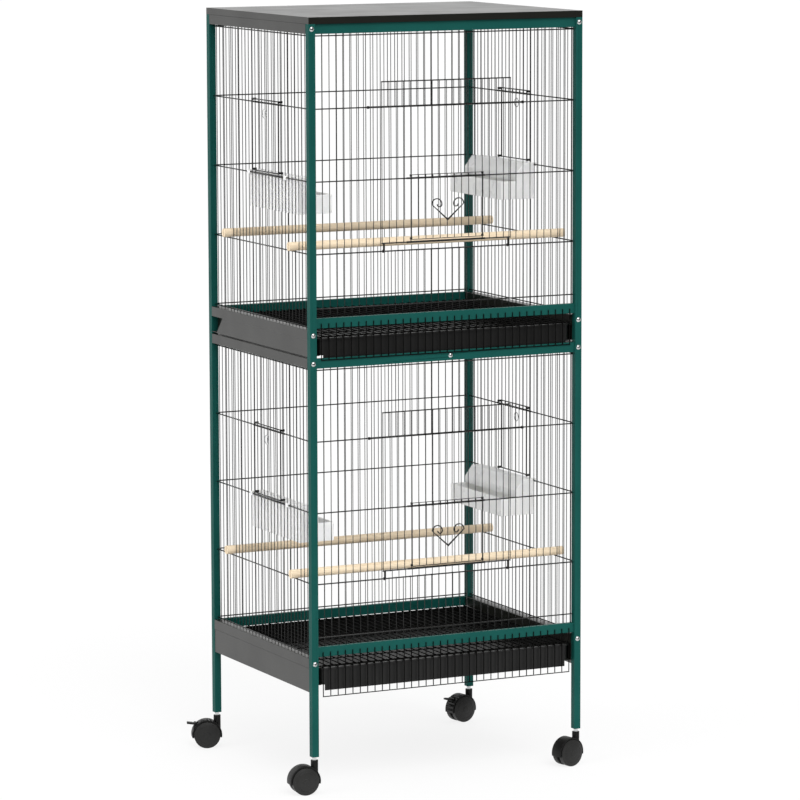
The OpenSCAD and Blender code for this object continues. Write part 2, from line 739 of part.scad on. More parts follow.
// Slide-out tray with a rolled rim and a lip under its front
module tray(t) {
    w = 2 * (tray_half_w - tray_rim);
    d = tray_d - 2 * tray_rim;
    color(black) translate([0, (tray_back_y - tray_front_y) / 2, tray_z(t)]) difference() {
        union() {
            linear_extrude(height = tray_h) round_rect(w, d, tray_r);
            translate([0, 0, tray_h - tray_rim])
                linear_extrude(height = tray_rim) round_rect(w + 2 * tray_rim, tray_d, tray_r + tray_rim);
            translate([tray_r - w / 2, -d / 2, lip_feet[t] - tray_z(t)])
                cube([w - 2 * tray_r, tray_wall, tray_z(t) - lip_feet[t] + tray_wall]);
        }
        translate([0, 0, tray_wall]) linear_extrude(height = tray_h)
            round_rect(w - 2 * tray_wall, d - 2 * tray_wall, tray_r - tray_wall);
    }
}

// Places a caster's own frame: stem on its axis, +X along the trail, floor at zero
module at_corner(c)
    translate([corner_sign_x(c) * corner_x, corner_sign_y(c) * corner_y, 0])
        rotate(trail_headings[c]) children();

// Cylinder along the axle, centred
module on_axle(d, w)
    translate([trail, 0, axle_z]) rotate([90, 0, 0]) cylinder(d = d, h = w, center = true, $fn = round_sides);

// Hood with its web, wheel pockets, axle bore and neck
module caster(c, braked) {
    pocket_d = 2 * (hood_r - hood_wall);
    socket_z = neck_top - stem_depth - seat_gap;
    color(black) at_corner(c) difference() {
        union() {
            difference() {
                union() {
                    on_axle(2 * hood_r, hood_w);
                    translate([0, 0, axle_z]) cylinder(d = neck_d, h = neck_top - axle_z, $fn = round_sides);
                }
                for (s = [-1, 1])
                    translate([0, s * (web_t / 2 + hood_w / 2), 0]) on_axle(pocket_d, hood_w);
                translate([-hood_r, -hood_w, axle_z - hood_r - overrun])
                    cube([trail + 3 * hood_r, 2 * hood_w, hood_r + overrun - hood_drop]);
            }
            on_axle(hub_d, web_t);
            if (braked) brake_ears();
        }
        on_axle(axle_d + 2 * running_gap, 2 * hood_w);
        translate([0, 0, socket_z])
            cylinder(d = stem_d + 2 * running_gap, h = neck_top - socket_z + overrun, $fn = round_sides);
        if (braked) brake_window();
    }
}

// Twin wheels on one axle
module wheels(c) {
    color(black) at_corner(c) {
        on_axle(axle_d, wheel_gap + wheel_t);
        for (s = [-1, 1])
            translate([trail, s * wheel_gap / 2, axle_z]) rotate([-90 * s, 0, 0])
                rotate_extrude($fn = round_sides) wheel_profile();
    }
}

// Half section of one wheel: flat inner face, crowned tread and domed outer face
module wheel_profile() {
    dome = (wheel_d * wheel_d / 4 + wheel_dome * wheel_dome) / (2 * wheel_dome);
    intersection() {
        square([wheel_d / 2, wheel_t]);
        translate([0, wheel_t - dome]) circle(r = dome, $fn = 4 * round_sides);
        union() {
            square([wheel_d / 2 - wheel_crown, wheel_t]);
            translate([0, wheel_crown]) square([wheel_d / 2, wheel_t]);
            translate([wheel_d / 2 - wheel_crown, wheel_crown]) circle(r = wheel_crown, $fn = round_sides);
        }
    }
}

// Place of the brake's pivot: +X outward from the axle, +Z along the rim
module at_brake()
    translate([trail, 0, axle_z]) rotate([0, -brake_angle, 0]) translate([brake_pivot_r, 0, 0]) children();

// Two ears and the pin between them
module brake_ears()
    at_brake() {
        rotate([90, 0, 0]) cylinder(d = brake_pin_d, h = brake_w + 2 * ear_t + 2 * slide_gap, center = true,
                                    $fn = round_sides);
        for (s = [-1, 1])
            translate([0, s * (brake_w + ear_t + 2 * slide_gap) / 2, 0]) {
                rotate([90, 0, 0]) cylinder(d = brake_boss_d, h = ear_t, center = true, $fn = round_sides);
                translate([-brake_lift - hood_wall, -ear_t / 2, -brake_boss_d / 2])
                    cube([brake_lift + hood_wall, ear_t, brake_boss_d]);
            }
    }

// Window in the hood behind the lever's shoe
module brake_window()
    at_brake() translate([-4 * hood_wall, -brake_w / 2 - slide_gap, -brake_boss_d])
        cube([4 * hood_wall - brake_pin_d / 2, brake_w + 2 * slide_gap, 2 * brake_boss_d]);

// Brake lever: boss on the pin with a foot tongue, and a cam that comes down on the wheels
module brake(c) {
    color(black) at_corner(c) at_brake() difference() {
        union() {
            rotate([90, 0, 0]) cylinder(d = brake_boss_d, h = brake_w, center = true, $fn = round_sides);
            rotate([0, brake_angle - tongue_tilt, 0]) translate([0, -brake_w / 2, -brake_t / 2])
                cube([brake_out, brake_w, brake_t]);
            rotate([0, -cam_angle, 0]) translate([-cam_r, 0, 0]) rotate([90, 0, 0])
                cylinder(d = cam_d, h = brake_w, center = true, $fn = round_sides);
        }
        rotate([90, 0, 0])
            cylinder(d = brake_pin_d + 2 * running_gap, h = 2 * brake_w, center = true, $fn = round_sides);
    }
}

for (c = [0:3]) {
    post(c);
    caster(c, c > 1);
    wheels(c);
}
for (c = [2, 3])
    brake(c);
leg_sockets();
caster_stems();
top_cover();
frame_bolts();
for (t = [0, 1]) {
    cross_rail(-1, front_z(t));
    cross_rail(-1, top_z(t), t == 0);
    cross_rail(1, side_z(t));
    cross_rail(1, top_z(t));
    front_wires(t);
    back_wires(t);
    front_door(t);
    small_door(t);
    perches(t);
    grate(t);
    tray(t);
}
// The left side is the right side turned half round
for (t = [0, 1], s = [0, 1]) {
    turn = s == 0 ? 180 : 0;
    name = str(TIERS[t], "_", SIDES[s]);
    side_top_rail(2 * s - 1, t);
    skirt_rail(2 * s - 1, t);
    rotate(turn) side_wires(t);
    rotate(turn) feeder_door(t);
    rotate(turn) feeder(t);
}
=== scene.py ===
import json
import math
import bpy
from mathutils import Matrix, Vector


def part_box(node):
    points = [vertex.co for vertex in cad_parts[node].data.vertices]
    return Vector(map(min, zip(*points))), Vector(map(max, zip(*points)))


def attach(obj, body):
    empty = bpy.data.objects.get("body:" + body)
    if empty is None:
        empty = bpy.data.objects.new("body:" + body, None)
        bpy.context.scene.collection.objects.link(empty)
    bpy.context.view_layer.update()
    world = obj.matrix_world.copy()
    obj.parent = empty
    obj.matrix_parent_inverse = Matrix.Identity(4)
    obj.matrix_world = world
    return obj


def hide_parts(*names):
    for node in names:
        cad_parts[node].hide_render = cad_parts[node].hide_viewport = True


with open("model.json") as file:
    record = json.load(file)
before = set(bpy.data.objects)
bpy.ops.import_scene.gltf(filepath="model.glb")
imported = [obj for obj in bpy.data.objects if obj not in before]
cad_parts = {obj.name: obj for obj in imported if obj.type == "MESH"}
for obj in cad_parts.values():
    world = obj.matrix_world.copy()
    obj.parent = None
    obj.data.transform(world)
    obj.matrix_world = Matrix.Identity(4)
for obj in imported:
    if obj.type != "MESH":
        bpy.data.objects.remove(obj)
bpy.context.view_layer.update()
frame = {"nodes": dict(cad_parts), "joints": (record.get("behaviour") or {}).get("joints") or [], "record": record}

nodes = frame["nodes"]
joints = {joint["name"]: joint for joint in frame["joints"]}
scene = bpy.context.scene
bodyOf = {}
for bodyName, members in frame["record"]["behaviour"]["bodies"].items():
    for member in members:
        bodyOf[member] = bodyName
mm = 0.001
corners = ("front_left", "front_right", "back_left", "back_right")
print("frame loaded:", len(nodes), "nodes")


# Node tree helpers
def addNode(tree, kind, **settings):
    node = tree.nodes.new(kind)
    for key, value in settings.items():
        if hasattr(node, key):
            setattr(node, key, value)
        else:
            node.inputs[key.replace("_", " ")].default_value = value
    return node


def join(tree, source, target):
    tree.links.new(source, target)


def startGroup(name, inputs, outputs):
    tree = bpy.data.node_groups.new(name, "ShaderNodeTree")
    for socketName, default in inputs.items():
        socket = tree.interface.new_socket(socketName, in_out="INPUT", socket_type="NodeSocketFloat")
        socket.default_value = default
    for socketName in outputs:
        tree.interface.new_socket(socketName, in_out="OUTPUT", socket_type="NodeSocketFloat")
    return tree, addNode(tree, "NodeGroupInput"), addNode(tree, "NodeGroupOutput")


def mathNode(tree, operation, first, second, clamp=False):
    node = addNode(tree, "ShaderNodeMath", operation=operation, use_clamp=clamp)
    for socket, value in zip(node.inputs, (first, second)):
        if isinstance(value, (int, float)):
            socket.default_value = value
        else:
            join(tree, value, socket)
    return node.outputs[0]


def rampNode(tree, factor, span, reach=(0.0, 1.0)):
    node = addNode(tree, "ShaderNodeMapRange", From_Min=span[0], From_Max=span[1],
                   To_Min=reach[0], To_Max=reach[1])
    join(tree, factor, node.inputs["Value"])
    return node.outputs["Result"]


def mixColour(tree, factor, first, second):
    node = addNode(tree, "ShaderNodeMix", data_type="RGBA")
    join(tree, factor, node.inputs["Factor"])
    for socket, value in ((node.inputs[6], first), (node.inputs[7], second)):  # the node's colour sockets
        if isinstance(value, tuple):
            socket.default_value = (*value, 1.0)
        else:
            join(tree, value, socket)
    return node.outputs[2]


def objectPlace(tree):
    return addNode(tree, "ShaderNodeTexCoord").outputs["Object"]


# Shared effects: each puts out masks and heights that change over the surface
grainLook = {
    "scale": 900.0, "fineDetail": 3.0, "fineRoughness": 0.55, "patchScale": 14.0, "patchDetail": 4.0,
    "patchSpan": (0.35, 0.68), "speckShare": 0.35, "speckSpan": (0.16, 0.06),
}
rubLook = {
    "radius": 1.0, "amount": 1.0, "samples": 4, "turnSpan": (0.97, 0.78),
    "patchScale": 60.0, "patchDetail": 4.0, "patchSpan": (0.42, 0.62),
}
dustLook = {
    "amount": 0.3, "scale": 30.0, "detail": 6.0, "roughness": 0.6,
    "upwardSpan": (0.4, 1.0), "cloudSpan": (0.35, 0.7),
}


def makeCoatGrain(look):
    tree, given, out = startGroup("coatGrain", {"Scale": look["scale"]}, ("Height", "Patch", "Speck"))
    fine = addNode(tree, "ShaderNodeTexNoise", Detail=look["fineDetail"], Roughness=look["fineRoughness"])
    broad = addNode(tree, "ShaderNodeTexNoise", Scale=look["patchScale"], Detail=look["patchDetail"])
    speck = addNode(tree, "ShaderNodeTexVoronoi", feature="F1")
    speckScale = mathNode(tree, "MULTIPLY", given.outputs["Scale"], look["speckShare"])
    join(tree, given.outputs["Scale"], fine.inputs["Scale"])
    join(tree, speckScale, speck.inputs["Scale"])
    place = objectPlace(tree)
    for texture in (fine, broad, speck):
        join(tree, place, texture.inputs["Vector"])
    join(tree, fine.outputs["Fac"], out.inputs["Height"])
    join(tree, rampNode(tree, broad.outputs["Fac"], look["patchSpan"]), out.inputs["Patch"])
    join(tree, rampNode(tree, speck.outputs["Distance"], look["speckSpan"]), out.inputs["Speck"])
    return tree


def makeEdgeRub(look):
    inputs = {"Radius": look["radius"] * mm, "Amount": look["amount"]}
    tree, given, out = startGroup("edgeRub", inputs, ("Mask",))
    rounded = addNode(tree, "ShaderNodeBevel", samples=look["samples"])
    join(tree, given.outputs["Radius"], rounded.inputs["Radius"])
    turn = addNode(tree, "ShaderNodeVectorMath", operation="DOT_PRODUCT")
    join(tree, rounded.outputs["Normal"], turn.inputs[0])
    join(tree, addNode(tree, "ShaderNodeNewGeometry").outputs["Normal"], turn.inputs[1])
    edge = rampNode(tree, turn.outputs["Value"], look["turnSpan"])
    patch = addNode(tree, "ShaderNodeTexNoise", Scale=look["patchScale"], Detail=look["patchDetail"])
    join(tree, objectPlace(tree), patch.inputs["Vector"])
    broken = mathNode(tree, "MULTIPLY", edge, rampNode(tree, patch.outputs["Fac"], look["patchSpan"]))
    join(tree, mathNode(tree, "MULTIPLY", broken, given.outputs["Amount"], True), out.inputs["Mask"])
    return tree


def makeDustFilm(look):
    tree, given, out = startGroup("dustFilm", {"Amount": look["amount"], "Scale": look["scale"]}, ("Mask",))
    normal = addNode(tree, "ShaderNodeSeparateXYZ")
    join(tree, addNode(tree, "ShaderNodeNewGeometry").outputs["Normal"], normal.inputs[0])
    cloud = addNode(tree, "ShaderNodeTexNoise", Detail=look["detail"], Roughness=look["roughness"])
    join(tree, objectPlace(tree), cloud.inputs["Vector"])
    join(tree, given.outputs["Scale"], cloud.inputs["Scale"])
    upward = rampNode(tree, normal.outputs["Z"], look["upwardSpan"])
    film = mathNode(tree, "MULTIPLY", upward, rampNode(tree, cloud.outputs["Fac"], look["cloudSpan"]))
    join(tree, mathNode(tree, "MULTIPLY", film, given.outputs["Amount"], True), out.inputs["Mask"])
    return tree


coatGrain = makeCoatGrain(grainLook)
edgeRub = makeEdgeRub(rubLook)
dustFilm = makeDustFilm(dustLook)
print("shared effects made")


def startMaterial(name, shaderValues):
    material = bpy.data.materials.new(name)
    material.use_nodes = True
    tree = material.node_tree
    shader = tree.nodes["Principled BSDF"]
    for key, value in shaderValues.items():
        shader.inputs[key].default_value = value
    return material, tree, shader


def useGroup(tree, group, **values):
    node = addNode(tree, "ShaderNodeGroup", node_tree=group)
    for key, value in values.items():
        node.inputs[key].default_value = value
    return node.outputs


def addBump(tree, shader, height, look):
    bump = addNode(tree, "ShaderNodeBump", Strength=look["bump"], Distance=look["bumpDepth"] * mm)
    join(tree, height, bump.inputs["Height"])
    join(tree, bump.outputs["Normal"], shader.inputs["Normal"])


# Powder coat, moulded plastic and plated steel share one recipe with their own values
def makeCoat(name, look):
    material, tree, shader = startMaterial(name, look["shader"])
    grain = useGroup(tree, coatGrain, Scale=look["grainScale"])
    colour = mixColour(tree, grain["Patch"], look["colour"], look["colourDeep"])
    if "rub" in look:
        rub = useGroup(tree, edgeRub, Radius=look["rubRadius"] * mm, Amount=look["rub"])
        colour = mixColour(tree, rub["Mask"], colour, look["rubColour"])
    if "dust" in look:
        dust = useGroup(tree, dustFilm, Amount=look["dust"])
        colour = mixColour(tree, dust["Mask"], colour, look["dustColour"])
    join(tree, colour, shader.inputs["Base Color"])
    blur = rampNode(tree, grain["Patch"], (0.0, 1.0), look["roughness"])
    speckBlur = mathNode(tree, "MULTIPLY", grain["Speck"], look["speckRoughness"])
    join(tree, mathNode(tree, "ADD", blur, speckBlur, True), shader.inputs["Roughness"])
    addBump(tree, shader, grain["Height"], look)
    return material


greenCoatLook = {
    "shader": {"Specular IOR Level": 0.06},
    "colour": (0.0078, 0.077, 0.066), "colourDeep": (0.0064, 0.069, 0.059),
    "roughness": (0.34, 0.44), "speckRoughness": 0.06, "grainScale": 1100.0, "bump": 0.16, "bumpDepth": 0.3,
    "rub": 0.3, "rubRadius": 0.8, "rubColour": (0.03, 0.15, 0.13),
}
blackCoatLook = {
    "shader": {"Specular IOR Level": 0.55},
    "colour": (0.0085, 0.0087, 0.0062), "colourDeep": (0.0065, 0.0066, 0.0048),
    "roughness": (0.28, 0.34), "speckRoughness": 0.06, "grainScale": 1300.0, "bump": 0.12, "bumpDepth": 0.3,
    "rub": 0.3, "rubRadius": 0.8, "rubColour": (0.05, 0.05, 0.048),
    "dust": 0.05, "dustColour": (0.16, 0.155, 0.15),
}
wireCoatLook = {
    "shader": {"Specular IOR Level": 0.36},
    "colour": (0.0105, 0.0105, 0.0102), "colourDeep": (0.0085, 0.0085, 0.0082),
    "roughness": (0.24, 0.32), "speckRoughness": 0.05, "grainScale": 1500.0, "bump": 0.06, "bumpDepth": 0.2,
}
# The grate's coat is a darker, less shiny copy of the wire coat: painted shade for the shade the grate lies in
# inside the tray
grateShadedCoatLook = {
    "shader": {"Specular IOR Level": 0.02},
    "colour": (0.0045, 0.0045, 0.0043), "colourDeep": (0.0035, 0.0035, 0.0033),
    "roughness": (0.5, 0.62), "speckRoughness": 0.05, "grainScale": 1500.0, "bump": 0.1, "bumpDepth": 0.2,
}
trayPlasticLook = {
    "shader": {"Specular IOR Level": 0.35},
    "colour": (0.0058, 0.0058, 0.0055), "colourDeep": (0.0044, 0.0044, 0.0042),
    "roughness": (0.36, 0.48), "speckRoughness": 0.1, "grainScale": 700.0, "bump": 0.14, "bumpDepth": 0.3,
    "rub": 0.2, "rubRadius": 0.8, "rubColour": (0.03, 0.03, 0.03),
    "dust": 0.03, "dustColour": (0.12, 0.115, 0.105),
}
casterPlasticLook = {
    "shader": {"Specular IOR Level": 0.22},
    "colour": (0.0055, 0.0055, 0.0053), "colourDeep": (0.0042, 0.0042, 0.0042),
    "roughness": (0.42, 0.54), "speckRoughness": 0.08, "grainScale": 500.0, "bump": 0.1, "bumpDepth": 0.3,
    "rub": 0.25, "rubRadius": 0.7, "rubColour": (0.03, 0.03, 0.03),
    "dust": 0.05, "dustColour": (0.12, 0.115, 0.11),
}
wheelPlasticLook = {
    "shader": {"Specular IOR Level": 0.3},
    "colour": (0.018, 0.018, 0.0172), "colourDeep": (0.014, 0.014, 0.0135),
    "roughness": (0.4, 0.52), "speckRoughness": 0.1, "grainScale": 420.0, "bump": 0.14, "bumpDepth": 0.3,
    "rub": 0.3, "rubRadius": 0.6, "rubColour": (0.06, 0.06, 0.058),
    "dust": 0.08, "dustColour": (0.18, 0.17, 0.16),
}
zincLook = {
    "shader": {"Metallic": 1.0},
    "colour": (0.74, 0.75, 0.74), "colourDeep": (0.64, 0.65, 0.66),
    "roughness": (0.24, 0.38), "speckRoughness": 0.12, "grainScale": 1600.0, "bump": 0.1, "bumpDepth": 0.2,
}
# Dark metal for the strips on the bolt heads: painted shade of their cross recesses
recessShadeLook = {
    "shader": {"Metallic": 0.6},
    "colour": (0.06, 0.06, 0.06), "colourDeep": (0.03, 0.03, 0.03),
    "roughness": (0.45, 0.6), "speckRoughness": 0.1, "grainScale": 1600.0, "bump": 0.2, "bumpDepth": 0.2,
}
feederPlasticLook = {
    "shader": {"Subsurface Weight": 1.0, "Subsurface Radius": (1.0, 1.0, 0.95), "Subsurface Scale": 4.0 * mm,
               "Specular IOR Level": 0.5},
    "colour": (0.93, 0.93, 0.915), "colourDeep": (0.91, 0.91, 0.89),
    "roughness": (0.24, 0.36), "speckRoughness": 0.06, "grainScale": 260.0, "bump": 0.05, "bumpDepth": 0.4,
    "dust": 0.03, "dustColour": (0.74, 0.71, 0.65),
}
coats = {
    "green_powder_coat": makeCoat("greenPowderCoat", greenCoatLook),
    "black_powder_coat": makeCoat("blackPowderCoat", blackCoatLook),
    "black_wire_coat": makeCoat("blackWireCoat", wireCoatLook),
    "black_plastic": makeCoat("trayPlastic", trayPlasticLook),
    "wheel_plastic": makeCoat("wheelPlastic", wheelPlasticLook),
    "white_plastic": makeCoat("feederPlastic", feederPlasticLook),
    "zinc_steel": makeCoat("zincPlatedSteel", zincLook),
}
casterPlastic = makeCoat("casterPlastic", casterPlasticLook)
# Darker copy of the wire coat for the grate: painted shade
grateCoat = makeCoat("grateCoat", grateShadedCoatLook)
# Material of the bolt-head strips: painted shade of the cross recesses
recessShadeSteel = makeCoat("boltRecess", recessShadeLook)


# Bare beech dowel: long grain along the perch, growth rings across it
beechLook = {
    "shader": {"Specular IOR Level": 0.3},
    "colour": (0.82, 0.66, 0.465), "pale": (0.87, 0.74, 0.55), "dark": (0.62, 0.44, 0.265),
    "grainStretch": (6.0, 260.0, 260.0), "grainDetail": 5.0, "grainRoughness": 0.6, "grainSpan": (0.3, 0.7),
    "fleckStretch": (40.0, 900.0, 900.0), "fleckDetail": 2.0, "fleckSpan": (0.6, 0.75), "fleckShare": 0.4,
    "ringScale": 130.0, "ringBend": 2.5, "ringDetail": 2.0, "ringSpan": (0.6, 1.0), "ringShare": 0.28,
    "roughness": (0.5, 0.66), "bump": 0.25, "bumpDepth": 0.3,
}


def stretchedNoise(tree, place, stretch, **settings):
    mapping = addNode(tree, "ShaderNodeMapping", Scale=stretch)
    noise = addNode(tree, "ShaderNodeTexNoise", Scale=1.0, **settings)
    join(tree, place, mapping.inputs["Vector"])
    join(tree, mapping.outputs["Vector"], noise.inputs["Vector"])
    return noise.outputs["Fac"]


def makeBeech(look):
    material, tree, shader = startMaterial("bareBeech", look["shader"])
    place = objectPlace(tree)
    grain = stretchedNoise(tree, place, look["grainStretch"], Detail=look["grainDetail"],
                           Roughness=look["grainRoughness"])
    fleck = stretchedNoise(tree, place, look["fleckStretch"], Detail=look["fleckDetail"])
    rings = addNode(tree, "ShaderNodeTexWave", wave_type="RINGS", rings_direction="X",
                    Scale=look["ringScale"], Distortion=look["ringBend"], Detail=look["ringDetail"])
    join(tree, place, rings.inputs["Vector"])
    colour = mixColour(tree, rampNode(tree, grain, look["grainSpan"]), look["colour"], look["pale"])
    for mask, span, share in ((rings.outputs["Fac"], look["ringSpan"], look["ringShare"]),
                              (fleck, look["fleckSpan"], look["fleckShare"])):
        darkness = mathNode(tree, "MULTIPLY", rampNode(tree, mask, span), share)
        colour = mixColour(tree, darkness, colour, look["dark"])
    join(tree, colour, shader.inputs["Base Color"])
    join(tree, rampNode(tree, grain, look["grainSpan"], look["roughness"]), shader.inputs["Roughness"])
    addBump(tree, shader, mathNode(tree, "ADD", grain, fleck), look)
    return material


coats["beech_dowel"] = makeBeech(beechLook)
print("materials made")


def paint(thing, material):
    thing.data.materials.clear()
    thing.data.materials.append(material)


slotOf = {part["node"]: part["material_slot"] for part in frame["record"]["subparts"]}
for nodeName, thing in nodes.items():
    onCaster = nodeName.endswith(("_caster", "_brake"))
    paint(thing, casterPlastic if onCaster else coats[slotOf[nodeName]])


# Folded and moulded edges are rounded on the CAD pieces themselves
edgeLook = {
    "radii": {"post": 1.1, "rail": 0.9, "cover": 1.0, "feeder": 0.5, "tray": 0.45, "caster": 0.7,
              "brake": 0.6, "perches": 0.5, "sockets": 0.4},
    "sewGap": 0.002, "segments": 3, "leastAngle": 40,
}


def addBevel(thing, width, segments, leastAngle):
    bevel = thing.modifiers.new("roundEdges", "BEVEL")
    bevel.width = width * mm
    bevel.segments = segments
    bevel.limit_method = "ANGLE"
    bevel.angle_limit = math.radians(leastAngle)
    return bevel


def roundEdges(thing, radius, look):
    weld = thing.modifiers.new("sewVertices", "WELD")
    weld.merge_threshold = look["sewGap"] * mm
    bevel = addBevel(thing, radius, look["segments"], look["leastAngle"])
    bevel.use_clamp_overlap = True
    bevel.harden_normals = True


for nodeName, thing in nodes.items():
    lastWord = nodeName.split("_")[-1]
    if lastWord in edgeLook["radii"]:
        roundEdges(thing, edgeLook["radii"][lastWord], edgeLook)
print("edges rounded")


# Pieces made here start as a shape, which is a list of points and a list of faces
def emptyShape():
    return {"verts": [], "faces": []}


def pieceName(prefix, nodeName):
    return prefix + "".join(word.capitalize() for word in nodeName.split("_"))


def newPiece(name, shape, material, body, smooth=True):
    mesh = bpy.data.meshes.new(name)
    mesh.from_pydata(shape["verts"], [], shape["faces"])
    mesh.validate()
    mesh.polygons.foreach_set("use_smooth", [smooth] * len(mesh.polygons))
    mesh.update()
    thing = bpy.data.objects.new(name, mesh)
    scene.collection.objects.link(thing)
    paint(thing, material)
    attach(thing, body)
    return thing


def addRings(shape, rings, closed=False):
    start = len(shape["verts"])
    count = len(rings[0])
    for ring in rings:
        shape["verts"].extend(tuple(point) for point in ring)
    for index in range(len(rings) if closed else len(rings) - 1):
        first = start + index * count
        second = start + (index + 1) % len(rings) * count
        for step in range(count):
            following = (step + 1) % count
            shape["faces"].append((first + step, first + following, second + following, second + step))
    if not closed:
        last = start + (len(rings) - 1) * count
        shape["faces"].append(tuple(start + step for step in range(count))[::-1])
        shape["faces"].append(tuple(last + step for step in range(count)))


def addBlock(shape, place, low, high):
    start = len(shape["verts"])
    for x in (low[0], high[0]):
        for y in (low[1], high[1]):
            for z in (low[2], high[2]):
                shape["verts"].append(tuple(place @ Vector((x, y, z))))
    for face in ((0, 1, 3, 2), (4, 6, 7, 5), (0, 4, 5, 1), (2, 3, 7, 6), (0, 2, 6, 4), (1, 5, 7, 3)):
        shape["faces"].append(tuple(start + index for index in face))


# Cosines and sines round a circle, counted the other way where handed is -1
def circle(sides, handed=1):
    turns = [handed * 2 * math.pi * step / sides for step in range(sides)]
    return [(math.cos(turn), math.sin(turn)) for turn in turns]


def ringAbout(middle, axis, station, radius, sides):
    across = [other for other in range(3) if other != axis]
    handed = -1 if axis == 1 else 1  # so that faces look outward
    ring = []
    for cosine, sine in circle(sides, handed):
        point = middle.copy()
        point[axis] = station
        point[across[0]] += radius * cosine
        point[across[1]] += radius * sine
        ring.append(point)
    return ring


# Wires: every straight wire of a panel, door or grate is drawn round, with soft ends and weld nuggets
wireLook = {
    "sides": 12, "tipLength": 0.55, "tipShare": 0.55,
    "straightLimit": 4.4, "squareLimit": 0.3, "mostPoints": 120,
    "weldReach": 1.35, "leastWeldGap": 0.5, "weldSlack": 1.0,
    "nuggetShares": (0.8, 0.55), "nuggetSides": 8, "nuggetRises": (-80, -40, 0, 40, 80),
    "pullSides": 12, "pullSteps": 40, "pullSquare": 0.5, "leastPull": 10.0,
    "loopRound": 0.35, "loopSegments": 2, "loopAngle": 30, "headWireTrim": 1.2,
}
placeDigits = 6  # points of the CAD meshes that agree to this many digits of a metre are one point


def placeKey(point):
    return tuple(round(value, placeDigits) for value in point)


# Each loose part of a mesh, as a list of its points
def meshIslands(mesh):
    parent = list(range(len(mesh.vertices)))

    def root(index):
        while parent[index] != index:
            parent[index] = parent[parent[index]]
            index = parent[index]
        return index

    places = {}
    for vertex in mesh.vertices:
        first = places.setdefault(placeKey(vertex.co), vertex.index)
        parent[root(vertex.index)] = root(first)
    for edge in mesh.edges:
        parent[root(edge.vertices[0])] = root(edge.vertices[1])
    islands = {}
    for vertex in mesh.vertices:
        islands.setdefault(root(vertex.index), []).append(vertex.index)
    return list(islands.values())


def islandBox(mesh, island):
    points = [mesh.vertices[index].co for index in island]
    low = Vector([min(point[axis] for point in points) for axis in range(3)])
    high = Vector([max(point[axis] for point in points) for axis in range(3)])
    return low, high


def readWire(mesh, island, look):
    low, high = islandBox(mesh, island)
    size = high - low
    along = max(range(3), key=lambda axis: size[axis])
    thick = [size[axis] for axis in range(3) if axis != along]
    slim = max(thick) < look["straightLimit"] * mm and max(thick) - min(thick) < look["squareLimit"] * mm
    distinct = len({placeKey(mesh.vertices[index].co) for index in island})
    pull = abs(size.y - size.z) < look["pullSquare"] * mm and size.y > look["leastPull"] * mm  # a large ring
    return {"low": low, "high": high, "along": along, "radius": max(thick) / 2, "island": island,
            "straight": slim and distinct < look["mostPoints"], "pull": pull}


def middleOf(wire, axis):
    return (wire["low"][axis] + wire["high"][axis]) / 2


def addRoundWire(shape, wire, look):
    along, radius = wire["along"], wire["radius"]
    middle = (wire["low"] + wire["high"]) / 2
    start, end = wire["low"][along], wire["high"][along]
    tip = radius * look["tipLength"]
    tipRadius = radius * look["tipShare"]
    stations = ((start, tipRadius), (start + tip, radius), (end - tip, radius), (end, tipRadius))
    addRings(shape, [ringAbout(middle, along, place, reach, look["sides"]) for place, reach in stations])


def addNugget(shape, first, second, look):
    normal = 3 - first["along"] - second["along"]
    place = Vector((0, 0, 0))
    place[first["along"]] = middleOf(second, first["along"])
    place[second["along"]] = middleOf(first, second["along"])
    place[normal] = (middleOf(first, normal) + middleOf(second, normal)) / 2
    size = 2 * min(first["radius"], second["radius"])
    wide, thin = (share * size for share in look["nuggetShares"])
    rings = []
    for rise in look["nuggetRises"]:
        angle = math.radians(rise)
        station = place[normal] + thin * math.sin(angle)
        rings.append(ringAbout(place, normal, station, wide * math.cos(angle), look["nuggetSides"]))
    addRings(shape, rings)


def crossing(first, second, look):
    if first["along"] == second["along"]:
        return False
    normal = 3 - first["along"] - second["along"]
    gap = abs(middleOf(first, normal) - middleOf(second, normal))
    if gap > look["weldReach"] * (first["radius"] + second["radius"]) or gap < look["leastWeldGap"] * mm:
        return False
    slack = look["weldSlack"] * mm
    for one, other in ((first, second), (second, first)):
        along = one["along"]
        if not one["low"][along] - slack < middleOf(other, along) < one["high"][along] + slack:
            return False
    return True


def copyIslands(shape, mesh, islands):
    wanted = {index for island in islands for index in island}
    made = {}
    seen = set()
    for face in mesh.polygons:
        if face.vertices[0] not in wanted:
            continue
        corner = []
        for index in face.vertices:
            key = placeKey(mesh.vertices[index].co)
            if key not in made:
                made[key] = len(shape["verts"])
                shape["verts"].append(tuple(mesh.vertices[index].co))
            if made[key] not in corner:
                corner.append(made[key])
        if len(corner) > 2 and frozenset(corner) not in seen:
            seen.add(frozenset(corner))
            shape["faces"].append(tuple(corner))


# The pull of a feeder door is a ring of bare wire
def addPull(shape, wire, look):
    middle = (wire["low"] + wire["high"]) / 2
    radius = (wire["high"].x - wire["low"].x) / 2
    spread = (wire["high"].z - wire["low"].z) / 2 - radius
    rings = []
    for outY, outZ in circle(look["pullSteps"]):
        ring = []
        for cosine, sine in circle(look["pullSides"], -1):
            reach = spread + radius * cosine
            ring.append(middle + Vector((radius * sine, reach * outY, reach * outZ)))
        rings.append(ring)
    addRings(shape, rings, True)


